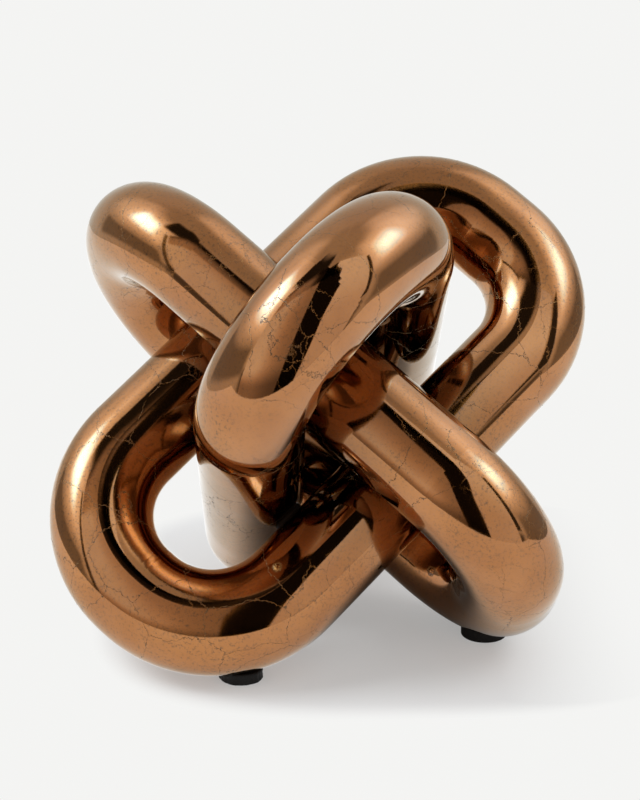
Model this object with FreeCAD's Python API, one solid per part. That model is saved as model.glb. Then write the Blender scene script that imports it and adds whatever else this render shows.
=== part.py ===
import FreeCAD, Part
import math
import os
from dataclasses import dataclass
from FreeCAD import Placement, Rotation, Vector

# A knot of three rounded oblong loops of thick round bar. No two loops are linked, but the three
# together can't come apart: the right loop passes through the left one, the left through the front
# one, and the front through the right one. The knot stands on the lower lobes of all three.
#
# Millimetres, +Z up. The origin is on the floor, under the middle of the bounding box, and the
# front loop's upper lobe points to -Y.
#
# A loop's own frame has X along its length with the upper lobe at +X, Y across its width, and Z
# square to its plane. In the knot's frame the lengths of the right, left and front loops lie along
# X, Y and Z, and the knot's diagonal (1, 1, 1) is nearly upright.

# Round bar of the loops
BAR_DIAMETER = 28.0
# Adhesive film where two strands touch
BOND_LINE = 0.2
# Spare width in a loop's window, beyond the bar that passes through it
RIGHT_LOOP_PLAY = 1.5
FRONT_LOOP_PLAY = 1.2
# Open length between the loop that passes through and the inside of each lobe
RIGHT_LOOP_UPPER_EYE = 15.3
RIGHT_LOOP_LOWER_EYE = 13.6
LEFT_LOOP_UPPER_EYE = 13.1
LEFT_LOOP_LOWER_EYE = 11.6
FRONT_LOOP_UPPER_EYE = 19.5
FRONT_LOOP_LOWER_EYE = 6.9
# Straight run across the end of each lobe, between its two round corners
RIGHT_LOOP_UPPER_FLAT = 7.0
RIGHT_LOOP_LOWER_FLAT = 2.0
LEFT_LOOP_UPPER_FLAT = 3.0
LEFT_LOOP_LOWER_FLAT = 6.4
FRONT_LOOP_UPPER_FLAT = 1.2
FRONT_LOOP_LOWER_FLAT = 5.4

# Dowel pins across the seams between the two castings of a loop
DOWEL_DIAMETER = 8.0
DOWEL_LENGTH = 24.0
DOWEL_CHAMFER = 0.6
DOWEL_CLEARANCE = 0.05
DOWEL_END_GAP = 0.5

# Beads of adhesive between strands that touch
BOND_DIAMETER = 9.0
BOND_FIT = 0.02

# Self-adhesive pads under the lower lobes
PAD_DIAMETER = 12.7
PAD_HEIGHT = 3.2
PAD_EDGE_ROUND = 0.5
# Depth to which the lowest point of a lobe sits in its pad
PAD_SEAT_DEPTH = 1.6
# Distance of each pad from the lowest point of its lobe, along the bar towards the lobe's tip
RIGHT_PAD_OFFSET = -7.0
LEFT_PAD_OFFSET = 3.5
FRONT_PAD_OFFSET = 0.0

BAR_RADIUS = BAR_DIAMETER / 2
# Distance between the centre lines of two strands that touch
STRAND_PITCH = BAR_DIAMETER + BOND_LINE
RIGHT_HALF_WIDTH = STRAND_PITCH + RIGHT_LOOP_PLAY
LEFT_HALF_WIDTH = STRAND_PITCH
FRONT_HALF_WIDTH = STRAND_PITCH + FRONT_LOOP_PLAY
# The front loop is turned about its length until its strands touch those of the right loop, and
# moved across until one of them touches both strands of the left loop
FRONT_ROLL = math.asin(RIGHT_LOOP_PLAY / FRONT_HALF_WIDTH)
FRONT_SHIFT = FRONT_HALF_WIDTH * math.cos(FRONT_ROLL) - STRAND_PITCH

DIAGONAL = Vector(1, 1, 1).normalize()
LENGTHWISE = Vector(1, 0, 0)
CROSSWISE = Vector(0, 1, 0)
UPRIGHT = Vector(0, 0, 1)
# Degrees about the diagonal from one loop to the next
THIRD_OF_A_TURN = 120.0
UPPER = 1
LOWER = -1
HIGH = 1
LOW = -1
# Rounds in which the standing plane settles on the three lobes
LEVEL_ROUNDS = 12


@dataclass
class Loop:
    """One closed loop of bar: its own sizes, and how it lies in the knot."""

    name: str
    thirds: int
    half_width: float
    reach: dict
    flat: dict
    pad_offset: float
    roll: float = 0.0
    shift: float = 0.0

    def placement(self):
        """From the loop's own frame to the knot's."""
        turned = Rotation(DIAGONAL, self.thirds * THIRD_OF_A_TURN)
        settled = Placement(CROSSWISE * self.shift, Rotation(LENGTHWISE, math.degrees(self.roll)))
        return Placement(Vector(), turned).multiply(settled)

    def corner_radius(self, side):
        """Centre line radius of both corners of the lobe on that side."""
        return self.half_width - self.flat[side] / 2

    def strand(self, row):
        """Middle of a straight strand in the knot's frame, and the direction in which it runs."""
        placement = self.placement()
        middle = placement.multVec(CROSSWISE * (row * self.half_width))
        return middle, placement.Rotation.multVec(LENGTHWISE)

    def furthest(self, heading):
        """Point of the centre line that lies furthest along a heading of the knot's frame."""
        placement = self.placement()
        local = placement.Rotation.inverted().multVec(heading)
        in_plane = Vector(local.x, local.y, 0).normalize()
        spots = []
        for side in (UPPER, LOWER):
            radius = self.corner_radius(side)
            across = math.copysign(self.flat[side] / 2, local.y)
            corner = Vector(side * (self.reach[side] - radius), across, 0)
            spots.append(placement.multVec(corner + in_plane * radius))
        return max(spots, key=heading.dot)


def reaches(crossing_half_width, upper_eye, lower_eye):
    """Distance of each lobe's centre line from the knot's middle: past the loop inside it, and an eye."""
    past_crossing = crossing_half_width + BAR_DIAMETER
    return {UPPER: past_crossing + upper_eye, LOWER: past_crossing + lower_eye}


def make_loops():
    """The three loops, each a third of a turn about the diagonal from the last."""
    right = Loop(
        name="right_loop",
        thirds=0,
        half_width=RIGHT_HALF_WIDTH,
        reach=reaches(FRONT_HALF_WIDTH, RIGHT_LOOP_UPPER_EYE, RIGHT_LOOP_LOWER_EYE),
        flat={UPPER: RIGHT_LOOP_UPPER_FLAT, LOWER: RIGHT_LOOP_LOWER_FLAT},
        pad_offset=RIGHT_PAD_OFFSET,
    )
    left = Loop(
        name="left_loop",
        thirds=1,
        half_width=LEFT_HALF_WIDTH,
        reach=reaches(RIGHT_HALF_WIDTH, LEFT_LOOP_UPPER_EYE, LEFT_LOOP_LOWER_EYE),
        flat={UPPER: LEFT_LOOP_UPPER_FLAT, LOWER: LEFT_LOOP_LOWER_FLAT},
        pad_offset=LEFT_PAD_OFFSET,
    )
    front = Loop(
        name="front_loop",
        thirds=2,
        half_width=FRONT_HALF_WIDTH,
        reach=reaches(LEFT_HALF_WIDTH, FRONT_LOOP_UPPER_EYE, FRONT_LOOP_LOWER_EYE),
        flat={UPPER: FRONT_LOOP_UPPER_FLAT, LOWER: FRONT_LOOP_LOWER_FLAT},
        pad_offset=FRONT_PAD_OFFSET,
        roll=FRONT_ROLL,
        shift=FRONT_SHIFT,
    )
    return right, left, front


def standing_placement(loops):
    """From the knot's frame to the part's: level on the three lower lobes, front lobe to the front."""
    up = DIAGONAL
    for _ in range(LEVEL_ROUNDS):
        first, second, third = (loop.furthest(-up) for loop in loops)
        up = (second - first).cross(third - first).normalize()
        up = up * math.copysign(1, up.dot(DIAGONAL))
    back = up * up.dot(UPRIGHT) - UPRIGHT
    back.normalize()
    right = back.cross(up)
    turned = Rotation(right, back, up, "ZXY").inverted()

    def middle(heading):
        far = max(loop.furthest(heading).dot(heading) for loop in loops)
        near = max(loop.furthest(-heading).dot(-heading) for loop in loops)
        return (far - near) / 2

    lowest = loops[0].furthest(-up).dot(up)
    floor = lowest - BAR_RADIUS - (PAD_HEIGHT - PAD_SEAT_DEPTH)
    return Placement(Vector(-middle(right), -middle(back), -floor), turned)


def lobe_path(loop, side):
    """Centre line of one casting in the loop's frame, from seam to seam round its lobe."""
    reach = loop.reach[side]
    half_flat = loop.flat[side] / 2
    radius = loop.corner_radius(side)
    bend = reach - radius
    slant = radius * math.sqrt(1 / 2)

    def spot(along, across):
        return Vector(side * along, across, 0)

    def corner(row):
        return (
            spot(bend, row * loop.half_width),
            spot(bend + slant, row * (half_flat + slant)),
            spot(reach, row * half_flat),
        )

    into_lobe = corner(HIGH)
    out_of_lobe = corner(LOW)[::-1]
    curves = [
        Part.LineSegment(spot(0, loop.half_width), into_lobe[0]),
        Part.Arc(*into_lobe),
        Part.LineSegment(into_lobe[-1], out_of_lobe[0]),
        Part.Arc(*out_of_lobe),
        Part.LineSegment(out_of_lobe[-1], spot(0, -loop.half_width)),
    ]
    return Part.Wire([curve.toShape() for curve in curves])


def dowel_bore(loop, side, row):
    """Blind hole for half a dowel, from the seam into one strand."""
    radius = DOWEL_DIAMETER / 2 + DOWEL_CLEARANCE
    depth = DOWEL_LENGTH / 2 + DOWEL_END_GAP
    return Part.makeCylinder(radius, depth, CROSSWISE * (row * loop.half_width), LENGTHWISE * side)


def casting(loop, side):
    """U-shaped half of a loop, solid bar with a dowel bore in each end."""
    ring = Part.Circle(CROSSWISE * loop.half_width, LENGTHWISE, BAR_RADIUS)
    profile = Part.Wire([ring.toShape()])
    bar = lobe_path(loop, side).makePipeShell([profile], True, False)
    for row in (HIGH, LOW):
        bar = bar.cut(dowel_bore(loop, side, row))
    return bar


def dowel(loop, row):
    """Plain pin with chamfered ends, half of it in each casting."""
    start = Vector(-DOWEL_LENGTH / 2, row * loop.half_width, 0)
    pin = Part.makeCylinder(DOWEL_DIAMETER / 2, DOWEL_LENGTH, start, LENGTHWISE)
    rims = [edge for edge in pin.Edges if isinstance(edge.Curve, Part.Circle)]
    return pin.makeChamfer(DOWEL_CHAMFER, rims)


def bond_spot(strand, crossing_strand):
    """Thin saddle of adhesive between two strands that cross square to each other and touch."""
    middle, heading = strand
    crossing_middle, crossing_heading = crossing_strand
    touch = middle + heading * (crossing_middle - middle).dot(heading)
    crossing_touch = crossing_middle - crossing_heading * (crossing_middle - middle).dot(crossing_heading)
    across = crossing_touch - touch
    bead = Part.makeCylinder(BOND_DIAMETER / 2, across.Length, touch, across)
    bared_radius = BAR_RADIUS + BOND_FIT
    for centre, along in ((touch, heading), (crossing_touch, crossing_heading)):
        start = centre - along * BOND_DIAMETER
        bead = bead.cut(Part.makeCylinder(bared_radius, 2 * BOND_DIAMETER, start, along))
    return bead


def bond_spots(right, left, front):
    """All the beads, by name. The strands' rows name the ones that touch."""
    touching = {
        "bond_right_left": (right, left, ((HIGH, HIGH), (HIGH, LOW), (LOW, HIGH), (LOW, LOW))),
        "bond_left_front": (left, front, ((HIGH, LOW), (LOW, LOW))),
        "bond_front_right": (front, right, ((HIGH, HIGH), (LOW, LOW))),
    }
    beads = {}
    for name, (loop, crossing, pairs) in touching.items():
        for number, (row, crossing_row) in enumerate(pairs, start=1):
            beads[f"{name}_{number}"] = bond_spot(loop.strand(row), crossing.strand(crossing_row))
    return beads


def pad(loop, standing, lobe):
    """Rubber disc between the floor and a lower lobe, its top pressed to the shape of the bar."""
    down = standing.Rotation.inverted().multVec(-UPRIGHT)
    normal = standing.Rotation.multVec(loop.placement().Rotation.multVec(UPRIGHT))
    towards_tip = normal.cross(UPRIGHT).normalize()
    foot = standing.multVec(loop.furthest(down)) + towards_tip * loop.pad_offset
    disc = Part.makeCylinder(PAD_DIAMETER / 2, PAD_HEIGHT, Vector(foot.x, foot.y, 0))
    rim = [edge for edge in disc.Edges if edge.BoundBox.ZMax < PAD_EDGE_ROUND]
    disc = disc.makeFillet(PAD_EDGE_ROUND, rim)
    return disc.cut(lobe)


def moved(shape, placement):
    """Copy of a shape at a placement."""
    return shape.transformed(placement.toMatrix(), copy=True)


def make_parts():
    """Every piece of the knot by its node's name, standing in the part's frame."""
    loops = make_loops()
    standing = standing_placement(loops)
    parts = {}
    for loop in loops:
        placed = standing.multiply(loop.placement())
        for side, half in ((UPPER, "upper"), (LOWER, "lower")):
            parts[f"{loop.name}_{half}"] = moved(casting(loop, side), placed)
        for row, level in ((HIGH, "high"), (LOW, "low")):
            parts[f"{loop.name}_dowel_{level}"] = moved(dowel(loop, row), placed)
        lower = parts[f"{loop.name}_lower"]
        parts[f"pad_{loop.name}"] = pad(loop, standing, lower)
    for name, bead in bond_spots(*loops).items():
        parts[name] = moved(bead, standing)
    return parts


def main():
    os.makedirs("parts", exist_ok=True)
    for name, shape in make_parts().items():
        shape.exportStep(f"parts/{name}.step")
        print(f"{name}: {shape.Volume:.1f} mm3")


main()
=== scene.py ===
"""Looks of a polished bronze knot: three interlocked loops of round bar on small rubber pads."""

import logging
import math
from dataclasses import dataclass, field
from enum import Enum

import bmesh
import bpy
from mathutils import Euler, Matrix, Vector

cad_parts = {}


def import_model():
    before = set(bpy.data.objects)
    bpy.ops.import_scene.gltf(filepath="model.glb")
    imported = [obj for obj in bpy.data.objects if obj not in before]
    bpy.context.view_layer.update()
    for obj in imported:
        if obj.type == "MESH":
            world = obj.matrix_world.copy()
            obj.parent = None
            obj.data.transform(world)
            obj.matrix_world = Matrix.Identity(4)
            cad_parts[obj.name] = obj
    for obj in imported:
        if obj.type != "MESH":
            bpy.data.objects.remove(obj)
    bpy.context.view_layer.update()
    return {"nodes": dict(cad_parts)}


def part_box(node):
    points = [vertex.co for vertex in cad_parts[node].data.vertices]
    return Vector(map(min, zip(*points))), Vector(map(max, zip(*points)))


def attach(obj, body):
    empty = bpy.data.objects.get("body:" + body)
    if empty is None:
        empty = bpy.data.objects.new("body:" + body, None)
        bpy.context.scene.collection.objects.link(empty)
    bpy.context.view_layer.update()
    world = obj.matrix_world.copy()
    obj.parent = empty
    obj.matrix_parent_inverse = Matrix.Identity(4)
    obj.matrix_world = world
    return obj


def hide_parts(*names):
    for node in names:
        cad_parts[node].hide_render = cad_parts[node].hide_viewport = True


log = logging.getLogger("knot")

Colour = tuple[float, float, float]
Point = tuple[float, float, float]

# The white that the camera sees round the knot and at the table's rim
BACKDROP: Colour = (0.905, 0.905, 0.892)

# The value that a noise lies about
NOISE_MIDDLE: float = 0.5


class Loop(Enum):
    """The three closed loops of the knot."""

    RIGHT = "right_loop"
    LEFT = "left_loop"
    FRONT = "front_loop"


@dataclass(frozen=True)
class Step:
    """A smooth step from low to high, while what it is read from goes from start to end."""

    start: float
    end: float
    low: float = 0.0
    high: float = 1.0


@dataclass(frozen=True)
class Waves:
    """A noise pattern: waves in a metre, octaves, each octave's strength against the last, and a shift."""

    scale: float
    detail: float = 2.0
    rough: float = 0.5
    shift: Point = (0.0, 0.0, 0.0)


@dataclass(frozen=True)
class Sock:
    """An output socket that takes part in arithmetic as a plain number would."""

    graph: "Graph"
    node: bpy.types.Node
    output: str | int

    def other(self, name: str) -> "Sock":
        """Another output of the same node, by name."""
        return Sock(self.graph, self.node, name)

    def maths(self, operation: str, *values: "Value") -> "Sock":
        """A Math node that starts from this socket.

        Args:
            operation: The Math node's operation.
            values: Its second and third inputs, where it has them.

        Returns:
            The node's result.
        """
        inputs = dict(enumerate((self, *values)))
        return self.graph.add("ShaderNodeMath", {"operation": operation}, inputs)

    def __add__(self, other: "Value") -> "Sock":
        """This plus the other value."""
        return self.maths("ADD", other)

    __radd__ = __add__

    def __sub__(self, other: "Value") -> "Sock":
        """This less the other value."""
        return self.maths("SUBTRACT", other)

    def __rsub__(self, other: float) -> "Sock":
        """The other value less this."""
        return self.maths("MULTIPLY_ADD", -1.0, other)

    def __mul__(self, other: "Value") -> "Sock":
        """This times the other value."""
        return self.maths("MULTIPLY", other)

    __rmul__ = __mul__

    def most(self, other: "Value") -> "Sock":
        """The larger of this and the other value."""
        return self.maths("MAXIMUM", other)

    def ramp(self, step: Step) -> "Sock":
        """A smooth step, read at this socket's value.

        Args:
            step: Where the step lies and what it goes between.

        Returns:
            The stepped value.
        """
        settings = {"interpolation_type": "SMOOTHSTEP"}
        inputs = {"Value": self, "From Min": step.start, "From Max": step.end}
        inputs |= {"To Min": step.low, "To Max": step.high}
        return self.graph.add("ShaderNodeMapRange", settings, inputs, "Result")

    def between(self, low: float, high: float, soft: float) -> "Sock":
        """One between two values, with soft edges, and zero outside them."""
        rise = self.ramp(Step(low - soft, low + soft))
        return rise * self.ramp(Step(high - soft, high + soft, 1.0, 0.0))


Value = Sock | float | int | tuple[float, ...]


class Graph:
    """A node tree that is built from expressions."""

    def __init__(self, tree: bpy.types.NodeTree) -> None:
        """Empties the tree."""
        self.tree = tree
        tree.nodes.clear()

    def add(
        self,
        kind: str,
        settings: dict[str, object] | None = None,
        inputs: dict[str | int, Value] | None = None,
        output: str | int = 0,
    ) -> Sock:
        """Adds one node.

        Args:
            kind: The node's type.
            settings: Its properties, set before its sockets.
            inputs: Values or links of its input sockets, by name or number.
            output: The output to hand on.

        Returns:
            That output. A node that ends its tree has none, and what it gives isn't used.
        """
        node = self.tree.nodes.new(kind)
        for name, value in (settings or {}).items():
            setattr(node, name, value)
        for name, value in (inputs or {}).items():
            socket = node.inputs[name]
            if isinstance(value, Sock):
                self.tree.links.new(value.node.outputs[value.output], socket)
            elif socket.type == "RGBA":
                socket.default_value = (*value, 1.0)
            else:
                socket.default_value = value
        return Sock(self, node, output)

    def place(self) -> Sock:
        """Where on the piece a point lies, in metres."""
        return self.add("ShaderNodeTexCoord", None, None, "Object")

    def rays(self) -> tuple[Sock, Sock]:
        """Whether the camera looks straight at a point, and whether it sees it in a mirror."""
        straight = self.add("ShaderNodeLightPath", None, None, "Is Camera Ray")
        return straight, straight.other("Is Glossy Ray").most(straight.other("Is Transmission Ray"))

    def noise(self, where: Sock, waves: Waves) -> Sock:
        """Smooth noise from about 0 to 1.

        Args:
            where: The point at which it is read.
            waves: The pattern.

        Returns:
            The noise value, whose Color output is a noise vector.
        """
        inputs = {"Vector": self.moved(where, waves.shift), "Scale": waves.scale}
        inputs |= {"Detail": waves.detail, "Roughness": waves.rough}
        return self.add("ShaderNodeTexNoise", None, inputs, "Fac")

    def edges(self, where: Sock, cells: float) -> Sock:
        """Distance to the nearest wall of a pattern of irregular cells.

        Args:
            where: The point at which it is read.
            cells: Cells in a metre.

        Returns:
            The distance in metres.
        """
        settings = {"feature": "DISTANCE_TO_EDGE"}
        inputs = {"Vector": where, "Scale": cells}
        return self.add("ShaderNodeTexVoronoi", settings, inputs, "Distance") * (1.0 / cells)

    def dots(self, where: Sock, cells: float) -> Sock:
        """Distance in cells to the nearest cell's seed, with each cell's own Color."""
        return self.add("ShaderNodeTexVoronoi", None, {"Vector": where, "Scale": cells}, "Distance")

    def distance(self, where: Sock, middle: Point) -> Sock:
        """Distance in metres to a fixed point."""
        settings = {"operation": "DISTANCE"}
        return self.add("ShaderNodeVectorMath", settings, {0: where, 1: middle}, "Value")

    def moved(self, where: Sock, offset: Point) -> Sock:
        """A point moved by a fixed offset.

        Args:
            where: The point.
            offset: How far it is moved in metres.

        Returns:
            The moved point, or the same one where the offset is zero.
        """
        if not any(offset):
            return where
        return self.add("ShaderNodeVectorMath", {"operation": "ADD"}, {0: where, 1: offset})

    def shifted(self, where: Sock, by: Sock, amount: float) -> Sock:
        """A point moved by a noise colour about its middle.

        Args:
            where: The point.
            by: A noise's Color output.
            amount: Metres for a whole unit of the noise.

        Returns:
            The moved point.
        """
        settings = {"operation": "SUBTRACT"}
        centred = self.add("ShaderNodeVectorMath", settings, {0: by, 1: (NOISE_MIDDLE,) * 3})
        settings = {"operation": "MULTIPLY_ADD"}
        return self.add("ShaderNodeVectorMath", settings, {0: centred, 1: (amount,) * 3, 2: where})

    def scaled(self, colour: Value, by: Sock) -> Sock:
        """A colour times a number."""
        return self.add("ShaderNodeVectorMath", {"operation": "SCALE"}, {0: colour, "Scale": by})

    def mix(self, share: Sock, first: Value, second: Value) -> Sock:
        """A colour between two, by share."""
        inputs = {0: share, 6: first, 7: second}
        return self.add("ShaderNodeMix", {"data_type": "RGBA"}, inputs, 2)

    def bump(self, height: Sock) -> Sock:
        """The normal of a surface with a height in metres."""
        inputs = {"Height": height, "Strength": 1.0, "Distance": 1.0}
        return self.add("ShaderNodeBump", None, inputs, "Normal")

    def principled(self, inputs: dict[str | int, Value]) -> None:
        """Ends a material's tree in a Principled shader."""
        shader = self.add("ShaderNodeBsdfPrincipled", None, inputs)
        self.add("ShaderNodeOutputMaterial", None, {"Surface": shader})


def material(name: str) -> tuple[bpy.types.Material, Graph]:
    """Starts a material.

    Args:
        name: Its name.

    Returns:
        The new material and the empty graph of its nodes.
    """
    made = bpy.data.materials.new(name)
    made.use_nodes = True
    return made, Graph(made.node_tree)


@dataclass(frozen=True)
class Net:
    """A net of cracks along the walls of irregular cells.

    It has so many cells in a metre and lines of a width in metres, and is shifted by an offset. It
    shows where the noise of its area passes its step, at a share of the full strength.
    """

    cells: float
    width: float
    shift: Point
    area: Waves
    shown: Step
    share: float


@dataclass(frozen=True)
class MirrorBronze:
    """Mirror-bright bronze under a clear glaze that has crazed into fine, uneven hairlines."""

    name: str = "mirror_bronze"
    metal: Colour = (0.415, 0.170, 0.045)
    metal_deep: Colour = (0.345, 0.132, 0.031)
    painted_heart_shade: Colour = (0.165, 0.066, 0.012)
    crack: Colour = (0.060, 0.034, 0.018)
    pit: Colour = (0.075, 0.042, 0.020)
    edge_tint: Colour = (0.70, 0.64, 0.48)
    glaze_tint: Colour = (1.0, 0.97, 0.91)
    glaze_polish: float = 0.025
    glaze_index: float = 1.5

    # The polish, and what dulls it
    polish: float = 0.035
    cloud_dulls: float = 0.02
    wear_dulls: float = 0.05
    crack_dulls: float = 0.35
    crack_unmetals: float = 0.7
    crack_bares: float = 0.8
    wear_bares: float = 0.25

    # Cracks, whose lines fade between two shares of their width
    sway: Waves = Waves(45.0)
    sway_reach: float = 0.012
    tremble: Waves = Waves(420.0, 4.0, 0.75)
    tremble_reach: float = 0.0034
    thinning: Waves = Waves(600.0, 1.0, shift=(0.9, 0.3, 0.2))
    thin_shown: Step = Step(0.22, 0.5)
    crack_core: float = 0.3
    crack_rim: float = 1.3
    crack_stain: float = 0.95
    crack_depth: float = 0.000012
    long: Net = Net(
        52.0, 0.000080, (0.0, 0.0, 0.0), Waves(34.0, shift=(0.31, 0.07, 0.11)), Step(0.38, 0.50), 1.0
    )
    short: Net = Net(
        170.0, 0.000044, (0.05, 0.21, 0.13), Waves(42.0, shift=(0.11, 0.17, 0.03)), Step(0.55, 0.66), 0.8
    )

    # The two raised flaws, each in a dark ring
    flaws: tuple[Point, Point] = ((-0.0130, -0.0368, 0.0327), (0.0293, -0.0098, 0.0198))
    crumbs: Waves = Waves(1500.0, 2.0, 0.7)
    crumb_reach: float = 0.0012
    ring_inner: float = 0.0009
    ring_outer: float = 0.0014
    ring_soft: float = 0.0003
    ring_dark: float = 0.7
    dome: Step = Step(0.0002, 0.0012, 1.0, 0.0)
    dome_height: float = 0.00024

    # Wear, mottle and pits
    wear: Waves = Waves(34.0, 3.0, 0.6, (0.4, 0.2, 0.6))
    wear_shown: Step = Step(0.36, 0.62)
    mottle: Waves = Waves(1150.0, 5.0, 0.75, (0.7, 0.1, 0.4))
    mottle_shown: Step = Step(0.50, 0.66)
    mottle_on_wear: float = 0.50
    mottle_least: float = 0.14
    pit_cells: float = 1500.0
    pit_growth: float = 0.25
    pit_rim: Step = Step(0.0, 0.09, 1.0, 0.0)
    pit_picked: Step = Step(0.72, 0.82)
    pit_stain: float = 0.3

    # Painted shade: the colour darkens towards the knot's heart, where the loops shut out the studio's light
    cloud: Waves = Waves(55.0, 3.0, 0.55)
    cloud_shown: Step = Step(0.3, 0.7)
    heart: Point = (0.0, 0.0, 0.0657)
    heart_shade_fade: Step = Step(0.024, 0.056, 1.0, 0.0)
    heart_shade_ragged: float = 0.012

    # Unevenness of the glaze
    swell: Waves = Waves(60.0, 1.0)
    swell_height: float = 0.00009
    peel: Waves = Waves(420.0, 4.0, 0.68, (0.2, 0.5, 0.1))
    peel_height: float = 0.0000070
    grain: Waves = Waves(2600.0, 3.0, 0.7)
    grain_height: float = 0.0000024

    def cracks(self, g: Graph, where: Sock) -> Sock:
        """How strong a crack is at a point, from 0 to 1.

        Args:
            g: The material's graph.
            where: The point.

        Returns:
            The strength.
        """
        sway = g.noise(where, self.sway).other("Color")
        tremble = g.noise(where, self.tremble).other("Color")
        jagged = g.shifted(g.shifted(where, sway, self.sway_reach), tremble, self.tremble_reach)
        thin = g.noise(where, self.thinning).ramp(self.thin_shown)
        lines: list[Sock] = []
        for net in (self.long, self.short):
            gap = g.edges(g.moved(jagged, net.shift), net.cells)
            line = gap.ramp(Step(net.width * self.crack_core, net.width * self.crack_rim, 1.0, 0.0))
            lines.append(line * g.noise(where, net.area).ramp(net.shown) * thin * net.share)
        return lines[0].most(lines[1])

    def flaw(self, g: Graph, where: Sock) -> Sock:
        """How far a point is from the nearer flaw, roughened by crumbs.

        Args:
            g: The material's graph.
            where: The point.

        Returns:
            The distance from the flaw's middle in metres.
        """
        first, second = (g.distance(where, middle) for middle in self.flaws)
        crumbs = g.noise(where, self.crumbs) - NOISE_MIDDLE
        return first.maths("MINIMUM", second) + crumbs * self.crumb_reach

    def pits(self, g: Graph, where: Sock, worn: Sock) -> Sock:
        """How strong a pit is at a point: small dots of uneven size, only where the metal is worn.

        Args:
            g: The material's graph.
            where: The point.
            worn: How worn the metal is.

        Returns:
            The strength, from 0 to 1.
        """
        seed = g.dots(where, self.pit_cells)
        size = g.add("ShaderNodeSeparateColor", None, {"Color": seed.other("Color")}, "Red")
        return (seed - size * self.pit_growth).ramp(self.pit_rim) * size.ramp(self.pit_picked) * worn

    def colour(self, g: Graph, where: Sock, cloud: Sock, worn: Sock, line: Sock) -> Sock:
        """The colour at a point.

        Args:
            g: The material's graph.
            where: The point.
            cloud: Broad noise.
            worn: How worn the metal is.
            line: How strong a crack is.

        Returns:
            The colour.
        """
        metal = g.mix(cloud.ramp(self.cloud_shown), self.metal, self.metal_deep)
        # Painted shade: the metal turns darker towards the knot's heart, with a ragged rim
        depth = g.distance(where, self.heart) + (cloud - NOISE_MIDDLE) * self.heart_shade_ragged
        metal = g.mix(depth.ramp(self.heart_shade_fade), metal, self.painted_heart_shade)
        mottle = g.noise(where, self.mottle).ramp(self.mottle_shown)
        metal = g.mix(mottle * (worn * self.mottle_on_wear + self.mottle_least), metal, self.pit)
        metal = g.mix(self.pits(g, where, worn) * self.pit_stain, metal, self.pit)
        return g.mix(line * self.crack_stain, metal, self.crack)

    def make(self) -> bpy.types.Material:
        """Builds the finish.

        Returns:
            Its material.
        """
        made, g = material(self.name)
        where = g.place()
        cloud = g.noise(where, self.cloud)
        worn = g.noise(where, self.wear).ramp(self.wear_shown)
        flaw = self.flaw(g, where)
        ring = flaw.between(self.ring_inner, self.ring_outer, self.ring_soft)
        line = self.cracks(g, where).most(ring * self.ring_dark)
        swell = g.noise(where, self.swell) * self.swell_height
        peel = g.noise(where, self.peel) * self.peel_height
        grain = g.noise(where, self.grain) * self.grain_height
        dome = flaw.ramp(self.dome) * self.dome_height
        dull = cloud * self.cloud_dulls + worn * self.wear_dulls + line * self.crack_dulls
        g.principled(
            {
                "Base Color": self.colour(g, where, cloud, worn, line),
                "Metallic": 1.0 - line * self.crack_unmetals,
                "Roughness": self.polish + dull,
                "Specular Tint": self.edge_tint,
                "Normal": g.bump(swell + peel + grain + dome - line * self.crack_depth),
                "Coat Weight": 1.0 - (line * self.crack_bares + worn * self.wear_bares),
                "Coat Roughness": self.glaze_polish,
                "Coat IOR": self.glaze_index,
                "Coat Tint": self.glaze_tint,
            }
        )
        return made


@dataclass(frozen=True)
class BlackRubber:
    """Soft black rubber with a fine matt grain and a little dust in it."""

    name: str = "black_rubber"
    body: Colour = (0.005, 0.004, 0.003)
    dust: Colour = (0.026, 0.020, 0.015)
    speck: Waves = Waves(1500.0, 3.0, 0.7)
    speck_shown: Step = Step(0.55, 0.75)
    speck_height: float = 0.00004
    smear: Waves = Waves(220.0, 3.0, 0.6)
    smear_shown: Step = Step(0.35, 0.7)
    smear_height: float = 0.00010
    rough: float = 0.55
    smear_dulls: float = 0.25
    shine: float = 0.22

    def make(self) -> bpy.types.Material:
        """Builds the finish.

        Returns:
            Its material.
        """
        made, g = material(self.name)
        where = g.place()
        speck = g.noise(where, self.speck)
        smear = g.noise(where, self.smear)
        dusty = speck.ramp(self.speck_shown) * smear.ramp(self.smear_shown)
        g.principled(
            {
                "Base Color": g.mix(dusty, self.body, self.dust),
                "Roughness": smear * self.smear_dulls + self.rough,
                "Specular IOR Level": self.shine,
                "Normal": g.bump(speck * self.speck_height + smear * self.smear_height),
            }
        )
        return made


@dataclass(frozen=True)
class DowelSteel:
    """Bright steel with a fine grain."""

    name: str = "dowel_steel"
    steel: Colour = (0.56, 0.56, 0.57)
    shade: Colour = (0.40, 0.40, 0.42)
    grain: Waves = Waves(1800.0)
    grain_height: float = 0.000004
    rough: float = 0.25
    grain_dulls: float = 0.15

    def make(self) -> bpy.types.Material:
        """Builds the finish.

        Returns:
            Its material.
        """
        made, g = material(self.name)
        grain = g.noise(g.place(), self.grain)
        g.principled(
            {
                "Base Color": g.mix(grain, self.steel, self.shade),
                "Metallic": 1.0,
                "Roughness": grain * self.grain_dulls + self.rough,
                "Normal": g.bump(grain * self.grain_height),
            }
        )
        return made


@dataclass(frozen=True)
class DarkAdhesive:
    """Dark brown adhesive, uneven where it has been squeezed out."""

    name: str = "dark_adhesive"
    body: Colour = (0.012, 0.006, 0.003)
    edge: Colour = (0.018, 0.009, 0.004)
    lumps: Waves = Waves(500.0, 3.0)
    lump_height: float = 0.00005
    rough: float = 0.5
    lump_dulls: float = 0.2
    shine: float = 0.05

    def make(self) -> bpy.types.Material:
        """Builds the finish.

        Returns:
            Its material.
        """
        made, g = material(self.name)
        lumps = g.noise(g.place(), self.lumps)
        g.principled(
            {
                "Base Color": g.mix(lumps, self.body, self.edge),
                "Roughness": lumps * self.lump_dulls + self.rough,
                "Specular IOR Level": self.shine,
                "Normal": g.bump(lumps * self.lump_height),
            }
        )
        return made


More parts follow.
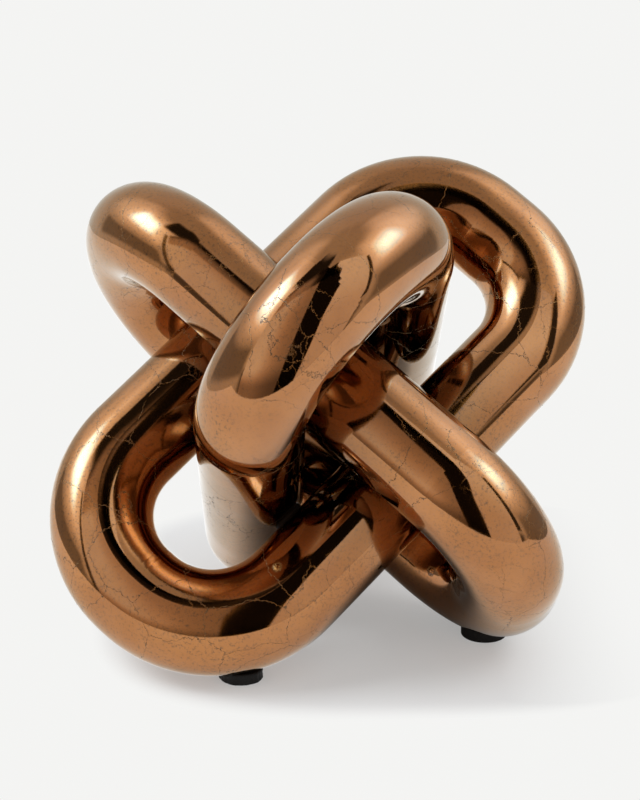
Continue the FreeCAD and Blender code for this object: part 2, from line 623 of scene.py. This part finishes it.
def dress(node: bpy.types.Object, finish: bpy.types.Material) -> None:
    """Gives a carried-over piece its finish in every material slot.

    Args:
        node: The piece.
        finish: Its material.
    """
    if not node.material_slots:
        node.data.materials.append(finish)
    for slot in node.material_slots:
        slot.material = finish


@dataclass
class Castings:
    """The six U-shaped halves of the three loops."""

    finish: MirrorBronze = field(default_factory=MirrorBronze)
    halves: tuple[str, ...] = ("upper", "lower")

    def build(self, nodes: dict[str, bpy.types.Object]) -> None:
        """Dresses both halves of each loop in one finish, so that it runs on across the seams.

        Args:
            nodes: The carried-over pieces by name.
        """
        bronze = self.finish.make()
        for loop in Loop:
            for half in self.halves:
                dress(nodes[f"{loop.value}_{half}"], bronze)
                log.info("casting %s_%s dressed", loop.value, half)


@dataclass
class Joinery:
    """What holds the castings together, out of sight: dowels across the seams and beads of adhesive."""

    steel: DowelSteel = field(default_factory=DowelSteel)
    adhesive: DarkAdhesive = field(default_factory=DarkAdhesive)

    def build(self, nodes: dict[str, bpy.types.Object]) -> None:
        """Dresses the dowels and the beads.

        Args:
            nodes: The carried-over pieces by name.
        """
        steel, adhesive = self.steel.make(), self.adhesive.make()
        for name, node in nodes.items():
            if "_dowel_" in name:
                dress(node, steel)
                log.info("dowel %s dressed", name)
            elif name.startswith("bond_"):
                dress(node, adhesive)
                log.info("bead %s dressed", name)


@dataclass(frozen=True)
class Ripple:
    """One wave round a pad's rim: how many times it repeats, where it starts and its share of the radius."""

    count: int
    start: float
    size: float


@dataclass
class Pads:
    """The rubber pads under the three lower lobes, one of them pressed out of shape by its lobe."""

    finish: BlackRubber = field(default_factory=BlackRubber)
    pressed: Loop = Loop.RIGHT

    # The pressed pad's mesh: doubles within the weld are merged, and each edge is cut
    weld: float = 1e-6
    cuts: int = 2

    # Its drawn-in waist, ended below the top, and its rippled rim, which leans by an angle over the height
    waist: float = 0.055
    waist_rise: float = 1.25
    ripple_lean: float = 1.4
    ripples: tuple[Ripple, ...] = (
        Ripple(2, 0.4, 0.012),
        Ripple(5, 1.9, 0.011),
        Ripple(11, 0.7, 0.007),
        Ripple(23, 2.6, 0.005),
    )
    corner_angle: float = 38.0

    def shrink(self, turn: float, rise: float) -> float:
        """How far the pressed pad's rim falls short of a true circle.

        Args:
            turn: Bearing about the pad's axis in radians.
            rise: Height within the pad, from 0 to 1.

        Returns:
            The share of the radius that is kept.
        """
        lean = self.ripple_lean * rise
        waves = 0.0
        for ripple in self.ripples:
            waves += ripple.size * (1.0 + math.sin(ripple.count * turn + ripple.start + lean))
        return 1.0 - waves - self.waist * math.sin(math.pi * min(1.0, self.waist_rise * rise))

    def press(self, node: bpy.types.Object, rubber: bpy.types.Material) -> None:
        """Stands a pad with an uneven, squeezed rim in the place of a carried-over one.

        Args:
            node: The carried-over pad.
            rubber: Its finish.
        """
        low, high = (Vector(corner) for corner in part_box(node.name))
        middle = (low + high) / 2
        shape = bmesh.new()
        shape.from_mesh(node.data)
        bmesh.ops.remove_doubles(shape, verts=shape.verts, dist=self.weld)
        bmesh.ops.subdivide_edges(shape, edges=shape.edges, cuts=self.cuts, use_grid_fill=True)
        for vertex in shape.verts:
            across = (vertex.co - middle).to_2d()
            keep = self.shrink(math.atan2(across.y, across.x), (vertex.co.z - low.z) / (high.z - low.z))
            vertex.co.xy = middle.to_2d() + across * keep
        bmesh.ops.recalc_face_normals(shape, faces=shape.faces)
        for face in shape.faces:
            face.smooth = True
        mesh = bpy.data.meshes.new(f"{node.name}_pressed")
        shape.to_mesh(mesh)
        shape.free()
        mesh.set_sharp_from_angle(angle=math.radians(self.corner_angle))
        mesh.materials.append(rubber)
        piece = bpy.data.objects.new(mesh.name, mesh)
        bpy.context.scene.collection.objects.link(piece)
        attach(piece, "root")
        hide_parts(node.name)
        log.info("pad %s pressed", node.name)

    def build(self, nodes: dict[str, bpy.types.Object]) -> None:
        """Dresses the pads and presses the one that the photograph shows out of shape.

        Args:
            nodes: The carried-over pieces by name.
        """
        rubber = self.finish.make()
        for loop in Loop:
            name = f"pad_{loop.value}"
            dress(nodes[name], rubber)
            log.info("pad %s dressed", name)
            if loop is self.pressed:
                self.press(nodes[name], rubber)


@dataclass(frozen=True)
class Patch:
    """A soft-edged rectangle of the surroundings, as the metal sees it.

    Bearings are degrees from the camera's side, positive to the right, and heights degrees above
    the horizon. A later patch covers an earlier one.
    """

    name: str
    left: float
    right: float
    low: float
    high: float
    soft: float
    light: float


@dataclass
class Surroundings:
    """White to the camera, and to the metal a studio with two soft boxes and some dark bands.

    What is matt has a plain fill light from all sides. The studio's tint goes from the open one to
    the boxes' own as its light goes between two values.
    """

    open_light: float = 0.73
    open_tint: Colour = (1.0, 0.985, 0.94)
    box_tint: Colour = (0.40, 0.66, 1.00)
    tint_from: float = 0.7
    tint_to: float = 5.0
    fill: Colour = (1.0, 1.0, 1.0)
    fill_light: float = 0.72
    patches: tuple[Patch, ...] = (
        Patch("camera side", -66, 66, -90, 60, 6, 0.88),
        Patch("floor of the camera side", -66, 66, -90, -2, 4, 0.14),
        Patch("ceiling", -180, 180, 66, 100, 6, 0.58),
        Patch("left wall", -140, -50, 22, 66, 10, 1.35),
        Patch("right wall", 60, 150, 22, 66, 10, 1.55),
        Patch("halo of the left box", -118, -62, 27, 58, 12, 2.7),
        Patch("halo of the right box", 70, 130, 27, 58, 12, 2.5),
        Patch("left box", -107, -76, 32, 52, 7, 14.0),
        Patch("right box", 78, 108, 32, 51, 9, 9.0),
        Patch("foot of the left wall", -128, -66, -6, 13, 3, 0.30),
        Patch("foot of the right wall", 72, 132, -12, 12, 4, 0.32),
        Patch("beam overhead", -72, -2, 55, 79, 3, 0.025),
        Patch("stand of the right box", 55, 66, 0, 46, 0.8, 0.05),
        Patch("stand of the left box", -61.5, -57.5, -4, 46, 0.7, 0.07),
    )

    def build(self) -> None:
        """Sets the world up."""
        world = bpy.data.worlds.new("studio")
        world.use_nodes = True
        bpy.context.scene.world = world
        g = Graph(world.node_tree)
        heading = g.add("ShaderNodeTexCoord", None, None, "Generated")
        along = g.add("ShaderNodeSeparateXYZ", None, {"Vector": heading}, "X")
        degrees = math.degrees(1.0)
        bearing = along.maths("ARCTAN2", along.other("Y") * -1.0) * degrees
        height = along.other("Z").maths("ARCSINE") * degrees
        light: Value = self.open_light
        for patch in self.patches:
            inside = bearing.between(patch.left, patch.right, patch.soft)
            inside = inside * height.between(patch.low, patch.high, patch.soft)
            light = inside * (patch.light - light) + light
            log.info("surroundings: %s", patch.name)
        glare_inputs = {"Value": light, "From Min": self.tint_from, "From Max": self.tint_to}
        glare = g.add("ShaderNodeMapRange", None, glare_inputs, "Result")
        colour = g.scaled(g.mix(glare, self.open_tint, self.box_tint), light)
        studio = g.add("ShaderNodeBackground", None, {"Color": colour, "Strength": 1.0})
        plain = g.add("ShaderNodeBackground", None, {"Color": self.fill, "Strength": self.fill_light})
        shown = g.add("ShaderNodeBackground", None, {"Color": BACKDROP, "Strength": 1.0})
        straight, mirrored = g.rays()
        lit = g.add("ShaderNodeMixShader", None, {0: mirrored, 1: plain, 2: studio})
        seen = g.add("ShaderNodeMixShader", None, {0: straight, 1: lit, 2: shown})
        g.add("ShaderNodeOutputWorld", None, {"Surface": seen})


def sheet(name: str, width: float, length: float, middle: Point, upright: bool) -> bpy.types.Object:
    """A flat rectangle of the studio, no part of the knot.

    Args:
        name: Its name.
        width: Its size across the camera's view.
        length: Its size away from the camera, or upwards.
        middle: Its middle in metres.
        upright: Whether it stands, facing the camera, instead of lying.

    Returns:
        The new object.
    """
    shape = bmesh.new()
    # A grid whose size is a half is one metre wide, so that the scale gives its width and length
    bmesh.ops.create_grid(shape, x_segments=1, y_segments=1, size=0.5)
    bmesh.ops.scale(shape, vec=Vector((width, length, 1.0)), verts=shape.verts)
    if upright:
        quarter = Euler((math.radians(90.0), 0.0, 0.0)).to_matrix()
        bmesh.ops.rotate(shape, cent=Vector(), matrix=quarter, verts=shape.verts)
    bmesh.ops.translate(shape, vec=Vector(middle), verts=shape.verts)
    mesh = bpy.data.meshes.new(name)
    shape.to_mesh(mesh)
    shape.free()
    made = bpy.data.objects.new(name, mesh)
    bpy.context.scene.collection.objects.link(made)
    log.info("%s set up", name)
    return made


@dataclass
class Table:
    """A pale table top that keeps the knot's shadow and runs out into the white."""

    half_width: float = 0.45
    front: float = -0.18
    back: float = 0.70
    paint: Colour = (0.778, 0.800, 0.818)

    # The rounded patch that keeps the shadow: the shift brings its middle to zero, the scale its rim to 1
    shadow_shift: Point = (-0.020, -0.020, 0.0)
    shadow_scale: Point = (11.8, 12.7, 1.0)
    shadow_power: float = 3.0
    shadow_fade: Step = Step(0.68, 1.06, 0.35, 1.0)
    side_fade: Step = Step(-0.05, 0.85)

    # The light of the top as the metal sees it, weaker under the knot
    glow: float = 1.60
    glow_tint: Colour = (0.99, 1.0, 1.02)
    glow_rise: Step = Step(0.02, 0.30)
    glow_share: Step = Step(0.02, 0.30, 0.38, 0.40)

    def build(self) -> None:
        """Sets the table up."""
        middle = (0.0, (self.back + self.front) / 2, 0.0)
        top = sheet("table", 2 * self.half_width, self.back - self.front, middle, False)
        made, g = material("pale_table")
        centred = g.moved(g.place(), self.shadow_shift)
        inputs = {0: centred, 1: self.shadow_scale}
        stretched = g.add("ShaderNodeVectorMath", {"operation": "MULTIPLY"}, inputs)
        across = g.add("ShaderNodeSeparateXYZ", None, {"Vector": stretched}, "X")
        wide = across.maths("ABSOLUTE").maths("POWER", self.shadow_power)
        deep = across.other("Y").maths("ABSOLUTE").maths("POWER", self.shadow_power)
        reach = wide + deep
        colour = g.scaled(self.glow_tint, reach.ramp(self.glow_rise))
        glow = g.add("ShaderNodeEmission", None, {"Color": colour, "Strength": self.glow})
        paint = g.add("ShaderNodeBsdfDiffuse", None, {"Color": self.paint})
        blank = g.add("ShaderNodeEmission", None, {"Color": BACKDROP, "Strength": 1.0})
        straight, mirrored = g.rays()
        away = reach.ramp(self.shadow_fade).most(across.ramp(self.side_fade)) * straight
        kept = g.add("ShaderNodeMixShader", None, {0: away, 1: paint, 2: blank})
        shine = reach.ramp(self.glow_share) * mirrored
        surface = g.add("ShaderNodeMixShader", None, {0: shine, 1: kept, 2: glow})
        g.add("ShaderNodeOutputMaterial", None, {"Surface": surface})
        top.data.materials.append(made)


@dataclass
class Boards:
    """Two white boards before the knot, with a dark gap between them and a dim top to the left one.

    Only mirrors see them: they cast no shadow and throw no light on the table. Their steps are read
    across or up them, in metres, and the tint's at their light.
    """

    half_width: float = 0.46
    place: float = -0.30
    low: float = -0.12
    high: float = 0.70
    tint: Colour = (1.0, 1.12, 1.25)
    dim_tint: Colour = (1.10, 0.95, 0.84)
    tint_step: Step = Step(0.55, 1.25)

    # Light of the left board, and how much of it the top loses
    left_across: Step = Step(-0.26, -0.02, 1.05, 0.44)
    left_up: Step = Step(-0.04, 0.07, 0.38, 1.0)
    top_begins: Step = Step(0.430, 0.475)
    top_loses: Step = Step(-0.13, -0.045, -0.45, -0.96)
    crown_loses: Step = Step(0.56, 0.68, 0.0, 0.40)
    least: float = 0.02

    # Light of the right board
    right_up: Step = Step(0.10, 0.45, 0.92, 1.25)

    # The gap, whose right edge leans out with height and back in near the top
    gap_left: float = -0.024
    gap_right: float = 0.095
    gap_soft: float = 0.002
    seam_soft: float = 0.003
    lean_out: Step = Step(0.13, 0.32, 0.0, 0.040)
    lean_in: Step = Step(0.48, 0.64, 0.0, 0.050)
    gap_loses: Step = Step(0.60, 0.68, -0.98, -0.85)

    def light(self, across: Sock, up: Sock) -> Sock:
        """The light that a point of the boards gives.

        Args:
            across: Its place across them.
            up: Its height.

        Returns:
            The light.
        """
        left = across.ramp(self.left_across) * up.ramp(self.left_up)
        over = across.ramp(self.top_loses) - up.ramp(self.crown_loses)
        left = left * (up.ramp(self.top_begins) * over + 1.0).most(self.least)
        leaning = across - up.ramp(self.lean_out) + up.ramp(self.lean_in)
        past = leaning.ramp(Step(self.gap_right - self.seam_soft, self.gap_right + self.seam_soft))
        light = left + past * (up.ramp(self.right_up) - left)
        gap = across.ramp(Step(self.gap_left - self.gap_soft, self.gap_left + self.gap_soft))
        end = Step(self.gap_right - self.gap_soft, self.gap_right + self.gap_soft, 1.0, 0.0)
        return light * (gap * leaning.ramp(end) * up.ramp(self.gap_loses) + 1.0)

    def build(self) -> None:
        """Sets the boards up."""
        middle = (0.0, self.place, (self.high + self.low) / 2)
        boards = sheet("screen", 2 * self.half_width, self.high - self.low, middle, True)
        boards.visible_camera = boards.visible_diffuse = boards.visible_shadow = False
        made, g = material("white_boards")
        across = g.add("ShaderNodeSeparateXYZ", None, {"Vector": g.place()}, "X")
        light = self.light(across, across.other("Z"))
        tint = g.mix(light.ramp(self.tint_step), self.dim_tint, self.tint)
        seen = g.add("ShaderNodeEmission", None, {"Color": g.scaled(tint, light), "Strength": 1.0})
        g.add("ShaderNodeOutputMaterial", None, {"Surface": seen})
        boards.data.materials.append(made)


@dataclass(frozen=True)
class Lamp:
    """A square soft lamp, in metres and watts, that looks at the knot and doesn't show in the metal."""

    name: str
    at: Point
    power: float
    size: float = 0.40
    aim: Point = (0.0, 0.0, 0.06)

    def build(self) -> None:
        """Hangs the lamp."""
        light = bpy.data.lights.new(self.name, "AREA")
        light.shape = "SQUARE"
        light.size = self.size
        light.energy = self.power
        made = bpy.data.objects.new(self.name, light)
        made.location = self.at
        made.rotation_euler = (Vector(self.aim) - Vector(self.at)).to_track_quat("-Z", "Y").to_euler()
        made.visible_glossy = False
        bpy.context.scene.collection.objects.link(made)
        log.info("lamp %s hung", self.name)


@dataclass
class Camera:
    """The camera at the photograph's place, angle and lens, in metres, degrees and millimetres."""

    at: Point = (-0.012785, -0.522445, 0.235352)
    turn: Point = (72.07, 0.0, -1.294)
    lens: float = 90.88
    sensor: float = 36.0
    near: float = 0.01
    far: float = 50.0

    def build(self) -> None:
        """Sets the camera up and makes it the scene's."""
        data = bpy.data.cameras.new("camera")
        data.sensor_width = self.sensor
        data.lens = self.lens
        data.clip_start = self.near
        data.clip_end = self.far
        made = bpy.data.objects.new("camera", data)
        made.location = self.at
        made.rotation_euler = Euler([math.radians(turn) for turn in self.turn])
        bpy.context.scene.collection.objects.link(made)
        bpy.context.scene.camera = made
        log.info("camera set")


@dataclass
class Studio:
    """Pale table, white surroundings, boards, lamps and the camera."""

    surroundings: Surroundings = field(default_factory=Surroundings)
    table: Table = field(default_factory=Table)
    boards: Boards = field(default_factory=Boards)
    lamps: tuple[Lamp, ...] = (
        Lamp("left_box", (-0.62, -0.05, 0.60), 3.0),
        Lamp("right_box", (0.62, -0.05, 0.60), 1.6),
    )
    camera: Camera = field(default_factory=Camera)

    def build(self) -> None:
        """Sets the whole studio up."""
        for piece in (self.surroundings, self.table, self.boards, *self.lamps, self.camera):
            piece.build()
        bpy.context.scene.view_settings.view_transform = "Standard"


def main() -> None:
    """Loads the frame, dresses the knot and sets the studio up."""
    logging.basicConfig(level=logging.INFO, format="%(name)s: %(message)s")
    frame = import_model()
    Castings().build(frame["nodes"])
    Joinery().build(frame["nodes"])
    Pads().build(frame["nodes"])
    Studio().build()


if __name__ == "__main__":
    main()
